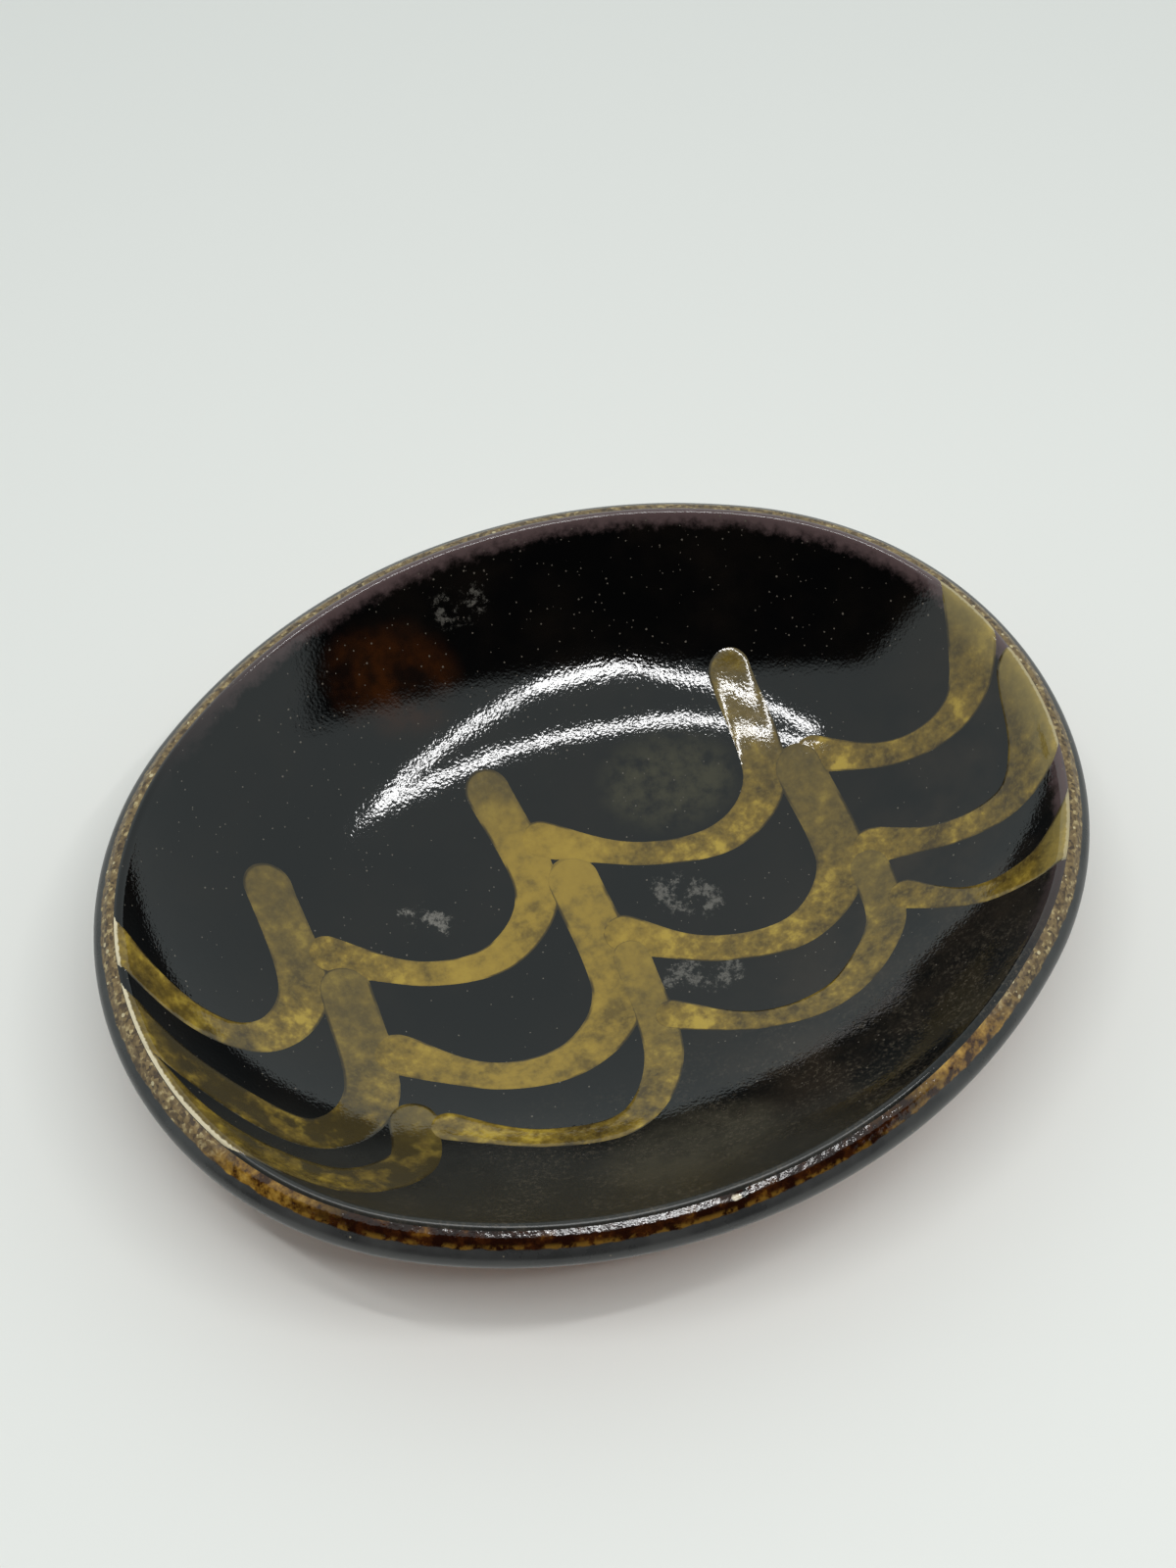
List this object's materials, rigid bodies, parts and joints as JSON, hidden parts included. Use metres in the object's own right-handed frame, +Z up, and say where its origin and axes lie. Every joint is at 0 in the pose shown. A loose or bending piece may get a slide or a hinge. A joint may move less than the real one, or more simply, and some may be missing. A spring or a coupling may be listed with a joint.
{
  "type": "soy sauce dish",
  "caption": "Shallow oval slipware dish for soy sauce: a pressed clay slab with a dark glazed hollow, trailed ochre scallops and a sloping amber rim.",
  "frame": {"origin": "middle of the flat standing face, on the table", "axes": "+X along the dish, +Y across it, +Z up out of the hollow"},
  "size_m": [0.12, 0.098, 0.0239],
  "materials": {
    "bare_clay": "matt bare fired clay",
    "dark_slip": "gloss glaze over black slip",
    "ochre_slip": "gloss glaze over trailed slip",
    "amber_glaze": "semi-gloss speckled glaze",
    "dark_glaze": "semi-gloss glaze"
  },
  "bodies": {
    "root": {"clay_body": "bare_clay", "dark_lining": "dark_slip", "rim_glaze": "amber_glaze", "edge_glaze": "dark_glaze", "slip_trail_a1": "ochre_slip", "slip_trail_a2": "ochre_slip", "slip_trail_a3": "ochre_slip", "slip_trail_a4": "ochre_slip", "slip_trail_b1": "ochre_slip", "slip_trail_b2": "ochre_slip", "slip_trail_b3": "ochre_slip", "slip_trail_b4": "ochre_slip", "slip_trail_c1": "ochre_slip", "slip_trail_c2": "ochre_slip", "slip_trail_c3": "ochre_slip", "slip_trail_c4": "ochre_slip"}
  },
  "joints": []
}
